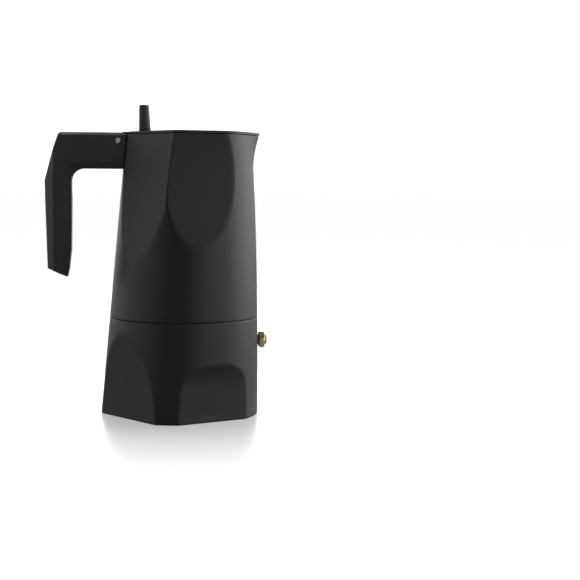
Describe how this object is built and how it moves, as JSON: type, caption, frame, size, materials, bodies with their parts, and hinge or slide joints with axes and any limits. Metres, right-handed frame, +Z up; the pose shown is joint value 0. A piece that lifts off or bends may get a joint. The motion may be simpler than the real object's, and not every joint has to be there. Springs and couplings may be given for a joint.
{
  "type": "moka pot",
  "caption": "Stovetop moka pot: a leaning round body with scooped facets, a hinged flat lid, a bar handle and a screw-off boiler with a brass valve.",
  "frame": {"origin": "middle of the screw joint's axis, on the surface the pot stands on", "axes": "+X to the spout and the valve, -X to the handle, +Z up"},
  "size_m": [0.1661, 0.116, 0.2319],
  "materials": {
    "cast_black": "matte black coating on cast aluminium",
    "bare_aluminium": "satin, uncoated",
    "black_plastic": "matte moulded",
    "steel": "bright turned",
    "brass": "bright turned",
    "fibre": "matte pressed fibre",
    "silicone": "matte"
  },
  "bodies": {
    "root": {"boiler": "cast_black", "valve_body": "brass", "valve_washer": "fibre", "valve_retainer": "brass", "valve_spring": "steel", "funnel_basket": "bare_aluminium", "funnel_screen": "bare_aluminium"},
    "valve": {"valve_plunger": "steel", "valve_seal": "silicone"},
    "seal": {"gasket": "silicone", "filter_plate": "bare_aluminium"},
    "upper": {"upper_chamber": "cast_black", "coffee_column": "bare_aluminium", "handle": "black_plastic", "handle_screw": "steel", "hinge_pin": "steel"},
    "lid": {"lid": "cast_black", "lid_knob": "black_plastic", "knob_screw": "steel", "knob_washer": "steel"}
  },
  "joints": [
    {"name": "valve_slide", "type": "slide", "parent": "root", "child": "valve", "axis": [1, 0, 0], "range_m": [0, 0.0015], "stiffness_N_per_m": 1500, "springref_m": -0.002, "deforming": ["valve_spring"]},
    {"name": "thread_lift", "type": "slide", "parent": "root", "child": "seal", "axis": [0, 0, 1], "range_m": [0, 0.01305]},
    {"name": "unscrew", "type": "hinge", "parent": "seal", "child": "upper", "pos_m": [0, 0, 0], "axis": [0, 0, 1], "range_deg": [0, 1170]},
    {"name": "lid_hinge", "type": "hinge", "parent": "upper", "child": "lid", "pos_m": [-0.049, 0, 0.2053], "axis": [0, -1, 0], "range_deg": [0, 100]}
  ],
  "couplings": [
    {"joint": "thread_lift", "follows": "unscrew", "m_per_rad": 0.00063662}
  ]
}
